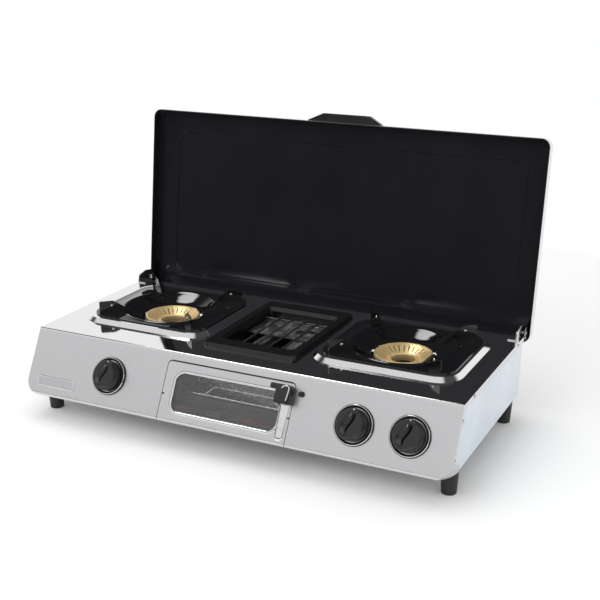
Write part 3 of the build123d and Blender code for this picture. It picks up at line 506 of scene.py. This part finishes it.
def build_door_details():
    """The moulding round the window, the upright handle strip, and the black grip with its hook."""
    steel = LOOKS["chrome_trim"]
    moulding = [(-3.8, 0.02), (-3.2, 0.35), (-2.2, 0.7), (-1.2, 0.75), (-0.4, 0.45), (0.1, -0.2),
                (0.1, -0.6), (-0.6, -0.8), (-3.8, -0.05)]
    add_piece("window_moulding", profile_ring(*WINDOW_HALF, WINDOW_R, moulding), front_matrix(*WINDOW),
              steel, "grill_door")
    strip = handle_strip(HANDLE_TOP, HANDLE_END, 8.0, 6.0, 2.6)
    bar = add_piece("door_handle_strip", strip, front_matrix(HANDLE_X, 0.0), steel, "grill_door")
    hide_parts("grill_door_handle_bar")
    black = LOOKS["black_plastic"]
    grip = add_piece("door_grip_block", rounded_block(83.5, 104.5, -46.0, -18.5, 2.8, 19.0, 3.0, 1.6),
                     front_matrix(0, 0), black, "grill_door")
    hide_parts("grill_door_grip")
    add_piece("door_grip_tab", rounded_block(74.0, 88.0, -26.5, -18.5, 8.0, 18.0, 2.4, 1.4),
              front_matrix(0, 0), black, "grill_door")
    add_piece("door_grip_cheek", rounded_block(104.0, 107.5, -45.0, -21.0, 1.0, 17.0, 1.6, 1.2),
              front_matrix(0, 0), black, "grill_door")
    route = [(93.5, -24.5), (95.0, -21.8), (98.0, -20.4), (101.0, -20.2), (103.6, -21.4), (104.6, -24.2),
             (104.4, -29.0), (103.6, -37.0), (103.0, -41.0)]
    add_piece("door_grip_hook", bent_wire([(x, y, 19.0) for x, y in route], 1.15), front_matrix(0, 0), steel,
              "grill_door")


def handle_strip(s0, s1, half_top, half_low, height, steps=24, across=14):
    """A domed strip down the front that narrows downwards, with rounded ends."""
    rings = []
    for step in range(steps + 1):
        t = step / steps
        ends = min(t, 1 - t) * (s1 - s0)
        pinch = math.sqrt(max(0.0, 1 - (1 - min(1.0, ends / 3.0)) ** 2))
        half = (half_top + (half_low - half_top) * t) * (0.55 + 0.45 * pinch)
        rise = height * (0.3 + 0.7 * pinch)
        y = -(s0 + (s1 - s0) * t)
        arc = []
        for n in range(across + 1):
            u = -1 + 2 * n / across
            arc.append((half * u, y, 0.06 + rise * (1 - abs(u) ** 3.5)))
        rings.append(arc + [(half, y, 0.04), (-half, y, 0.04)])
    return loft(rings)


def bent_wire(points, radius, sides=12, fine=6):
    """A round wire through points, smoothed with Catmull-Rom."""
    route = [Vector(p) for p in points]
    line = []
    for n in range(len(route) - 1):
        a, b, c, d = (route[max(0, min(len(route) - 1, n + k))] for k in (-1, 0, 1, 2))
        for step in range(fine):
            t = step / fine
            line.append(0.5 * (2 * b + (c - a) * t + (2 * a - 5 * b + 4 * c - d) * t ** 2
                               + (3 * b - a - 3 * c + d) * t ** 3))
    line.append(route[-1])
    rings = []
    for n, place in enumerate(line):
        ahead = (line[min(n + 1, len(line) - 1)] - line[max(n - 1, 0)]).normalized()
        side = ahead.cross(Vector((0, 0, 1)))
        side = side.normalized() if side.length > 1e-6 else Vector((1, 0, 0))
        up = side.cross(ahead)
        rings.append([tuple(place + radius * (math.cos(2 * math.pi * k / sides) * side
                                              + math.sin(2 * math.pi * k / sides) * up)) for k in range(sides)])
    return loft(rings)


def build_reddish_patches():
    """Two thin reddish patches on the cavity's floor, low enough for the tray to slide over them."""
    look = Look("reddish_patch", (0.20, 0.045, 0.022), 0.6)
    mottled(look, 160.0, 0.35, 0.1)
    place = Matrix.Translation((0, FOLD_Y, 0)) @ Matrix.Scale(MM, 4)
    for name, sides in (("left", (-88.0, -66.0, -32.0, -18.0)), ("right", (26.0, 66.0, -34.0, -12.0))):
        patch = rounded_block(*sides, PATCH_LOW, PATCH_HIGH, 5.0, 0.1)
        add_piece(f"cavity_reddish_patch_{name}", patch, place, look, "casing")


def build_door_gap_shade():
    """A black ring behind the gap round the grill door: painted shade that keeps the gap dark."""
    gap_shade_profile = [(0.0, -3.0), (0.0, -1.5), (6.4, -1.5), (6.4, -3.0)]
    ring = profile_ring(DOOR_HALF_W, (DOOR_END - DOOR_TOP) / 2, DOOR_R, gap_shade_profile)
    add_piece("door_gap_shade_ring", ring, front_matrix(0, (DOOR_TOP + DOOR_END) / 2), LOOKS["black_rubber"],
              "casing")


def build_badge_rim():
    """The thin raised rim round the blank plate."""
    rim = [(-0.9, 0.05), (-0.7, 1.0), (-0.2, 1.35), (0.5, 1.3), (0.9, 0.86), (0.9, 0.05)]
    add_piece("badge_rim", profile_ring(*BADGE_HALF, BADGE_R, rim), front_matrix(*BADGE),
              LOOKS["chrome_trim"], "casing")


build_knobs()
build_door_details()
build_badge_rim()
build_reddish_patches()
build_door_gap_shade()


# ---- light, floor and camera ----------------------------------------------------------------
LAMP = (-0.41, 0.22, 0.88)      # where the overhead lamp shows in the enamel
LAMP_STRENGTH = 9.0
FRONT_STRENGTH, BEHIND_STRENGTH, DARK_STRENGTH = 0.80, 1.0, 0.07      # the studio in reflections
DIFFUSE_STRENGTH, BACKDROP_STRENGTH = 0.88, 1.0


def build_world():
    """White all round for soft light; what shines off the surfaces is a studio with dark and bright parts."""
    world = bpy.data.worlds.new("studio")
    bpy.context.scene.world = world
    world.use_nodes = True
    world.node_tree.nodes.clear()
    nodes = Nodes(world.node_tree)
    output = nodes.node("ShaderNodeOutputWorld")
    rays = nodes.node("ShaderNodeLightPath")
    direction = nodes.node("ShaderNodeTexCoord").outputs["Generated"]
    split = nodes.node("ShaderNodeSeparateXYZ")
    nodes.link(direction, split.inputs["Vector"])

    def ramp(socket, low, high, into_low, into_high):
        return nodes.remap(socket, low, high, into_low, into_high, smooth=True)

    def glow(towards, inner, outer, strength):
        """A soft lamp seen in one direction; inner and outer are cosines."""
        along = nodes.node("ShaderNodeVectorMath", operation="DOT_PRODUCT")
        nodes.link(direction, along.inputs[0])
        along.inputs[1].default_value = Vector(towards).normalized()
        return ramp(along.outputs["Value"], outer, inner, 0.0, strength)

    def background(strength):
        """White light of one strength, or of a strength that a socket gives."""
        made = nodes.node("ShaderNodeBackground", Color=(1, 1, 1, 1))
        if isinstance(strength, float):
            made.inputs["Strength"].default_value = strength
        else:
            nodes.link(strength, made.inputs["Strength"])
        return made.outputs[0]

    def choose(ray, seen, other):
        """What rays of one kind see, and what all other rays see."""
        made = nodes.node("ShaderNodeMixShader")
        nodes.link(rays.outputs[ray], made.inputs[0])
        nodes.link(other, made.inputs[1])
        nodes.link(seen, made.inputs[2])
        return made.outputs[0]

    y, z = split.outputs["Y"], split.outputs["Z"]
    front = nodes.math("MULTIPLY", ramp(z, 0.02, 0.30, 0.0, FRONT_STRENGTH), ramp(y, -0.28, -0.10, 1.0, 0.0))
    behind = nodes.math("MULTIPLY", ramp(y, -0.10, 0.30, 0.0, BEHIND_STRENGTH), ramp(z, 0.50, 0.72, 1.0, 0.0))
    studio = nodes.math("MAXIMUM", nodes.math("MAXIMUM", front, behind), DARK_STRENGTH)
    studio = nodes.math("ADD", studio, glow(LAMP, 0.994, 0.985, LAMP_STRENGTH))
    lit = choose("Is Glossy Ray", background(studio), background(DIFFUSE_STRENGTH))
    nodes.link(choose("Is Camera Ray", background(BACKDROP_STRENGTH), lit), output.inputs["Surface"])


FLOOR_R = 1.15


def build_floor():
    """A pale round floor under the stove."""
    mesh = bpy.data.meshes.new("floor")
    shape = bmesh.new()
    bmesh.ops.create_circle(shape, cap_ends=True, segments=96, radius=FLOOR_R)
    shape.to_mesh(mesh)
    shape.free()
    floor = bpy.data.objects.new("floor", mesh)
    bpy.context.scene.collection.objects.link(floor)
    look = Look("floor_paper", (0.90, 0.90, 0.90), 0.9)
    look.set("Specular IOR Level", 0.0)
    look.drive_color(look.mix(look.noise(3.0), (0.89, 0.89, 0.89), (0.91, 0.91, 0.91)))
    mesh.materials.append(look.material)


def aim(thing, target):
    """Turns a light or camera to look at a point."""
    away = Vector(target) - thing.location
    thing.rotation_euler = away.to_track_quat("-Z", "Y").to_euler()


def softbox(name, place, target, size, power):
    """A soft rectangular light that shows in no reflection."""
    light = bpy.data.lights.new(name, "AREA")
    light.shape = "RECTANGLE"
    light.size, light.size_y = size
    light.energy = power
    thing = bpy.data.objects.new(name, light)
    thing.location = place
    thing.visible_glossy = False
    bpy.context.scene.collection.objects.link(thing)
    aim(thing, target)


CAMERA_PLACE = (0.7333, -1.4392, 0.7097)
CAMERA_AZIMUTH, CAMERA_ELEVATION, CAMERA_ROLL = 26.16, 20.25, 0.01     # degrees
CAMERA_LENS, CAMERA_SHIFT = 65.08, 0.0675


def build_camera():
    """The camera at the view's angle: a moderate long lens, above and to the right."""
    data = bpy.data.cameras.new("view")
    data.sensor_width = 36.0
    data.lens = CAMERA_LENS
    data.shift_y = CAMERA_SHIFT
    data.clip_end = 50.0
    camera = bpy.data.objects.new("view", data)
    turn = (Matrix.Rotation(math.radians(CAMERA_AZIMUTH), 3, "Z")
            @ Matrix.Rotation(math.radians(90.0 - CAMERA_ELEVATION), 3, "X")
            @ Matrix.Rotation(math.radians(CAMERA_ROLL), 3, "Z"))
    camera.matrix_world = Matrix.Translation(CAMERA_PLACE) @ turn.to_4x4()
    bpy.context.scene.collection.objects.link(camera)
    bpy.context.scene.camera = camera


build_world()
build_floor()
softbox("overhead", (-0.4, 0.2, 2.4), (0, 0, 0), (2.2, 1.8), 14.0)
softbox("front_fill", (-0.8, -2.0, 1.8), (0, 0, 0.1), (2.2, 1.2), 18.0)
build_camera()
bpy.context.scene.view_settings.view_transform = "Standard"
